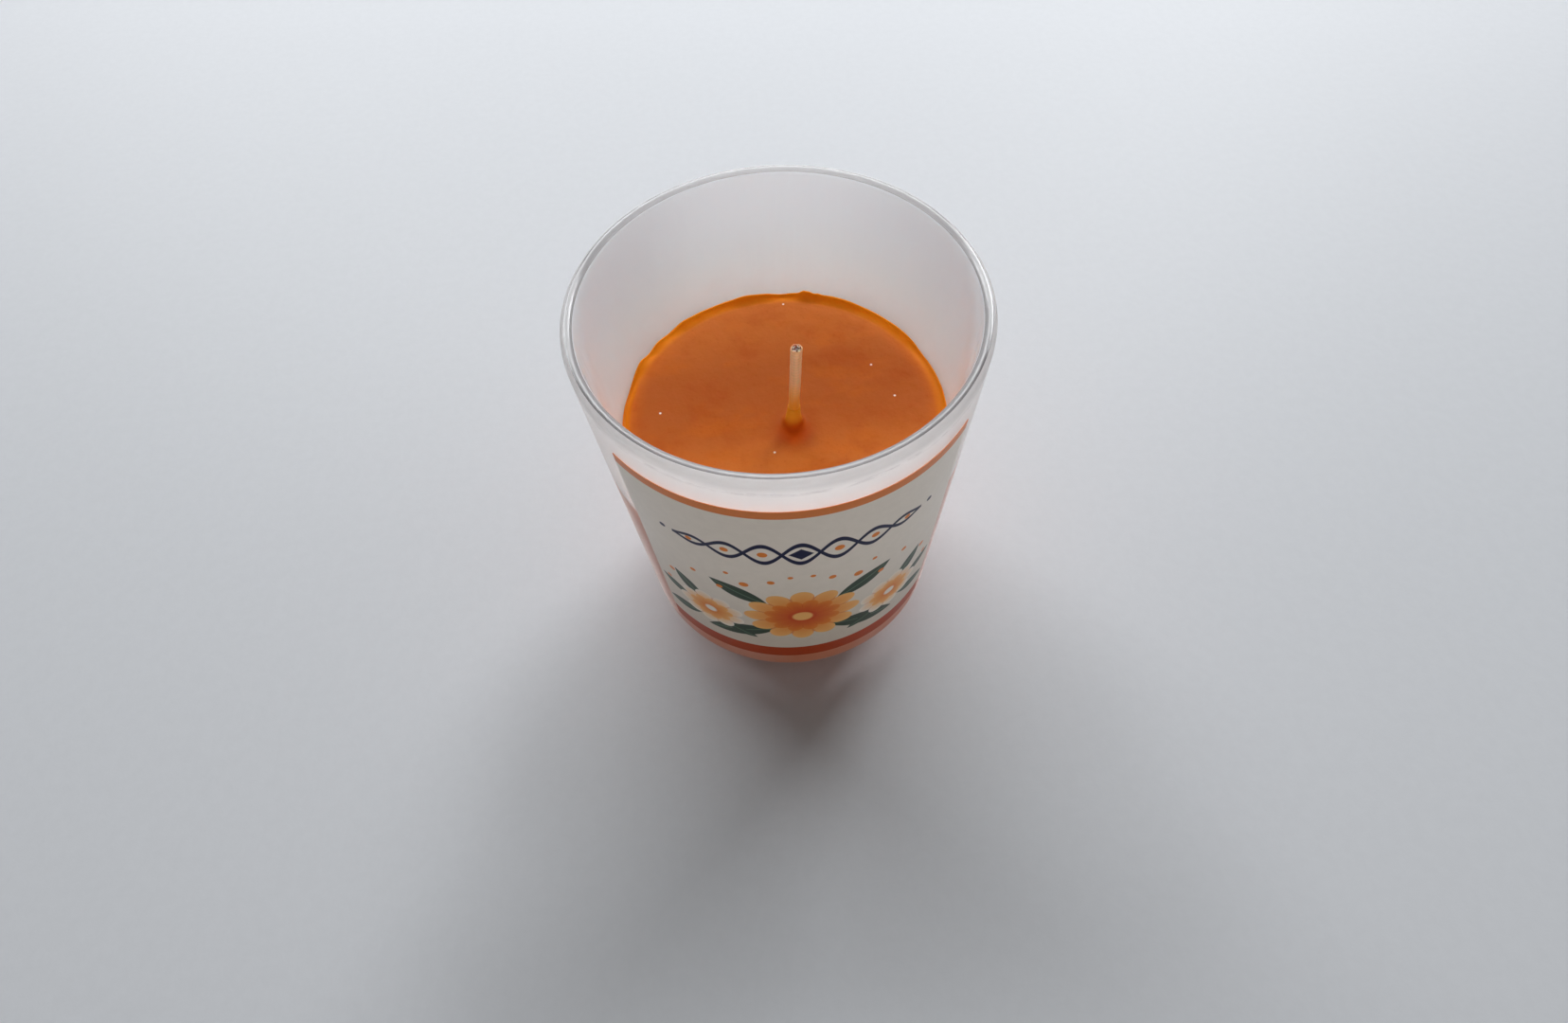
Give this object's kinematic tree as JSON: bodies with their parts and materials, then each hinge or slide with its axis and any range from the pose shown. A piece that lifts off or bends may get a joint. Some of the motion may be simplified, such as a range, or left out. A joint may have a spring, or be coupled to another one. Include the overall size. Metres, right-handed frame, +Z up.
{
  "type": "container candle",
  "caption": "Tapered frosted glass tumbler with a round clear rim, filled with orange wax round an unlit primed wick, with a wrapped film label on its front.",
  "frame": {"origin": "middle of the jar's foot, on the surface that it stands on", "axes": "+Z up along the jar's axis, -Y towards the front with the label, +X to the label's right"},
  "size_m": [0.0716, 0.0716, 0.08],
  "materials": {
    "frosted_glass": "satin outside, smooth inside, clear fire-polished rim",
    "label_film": "printed satin film",
    "orange_wax": "soft translucent wax",
    "wick_wax": "thin translucent wax skin",
    "cotton_braid": "waxed cotton braid",
    "core_thread": "waxed thread",
    "tinplate": "bright tin plate",
    "hot_melt": "smooth hot-melt glue"
  },
  "bodies": {
    "root": {"glass_jar": "frosted_glass", "front_label": "label_film", "wax_fill": "orange_wax", "wick_coat": "wick_wax", "wick_braid": "cotton_braid", "wick_core": "core_thread", "wick_sustainer": "tinplate", "glue_dot": "hot_melt"}
  },
  "joints": []
}
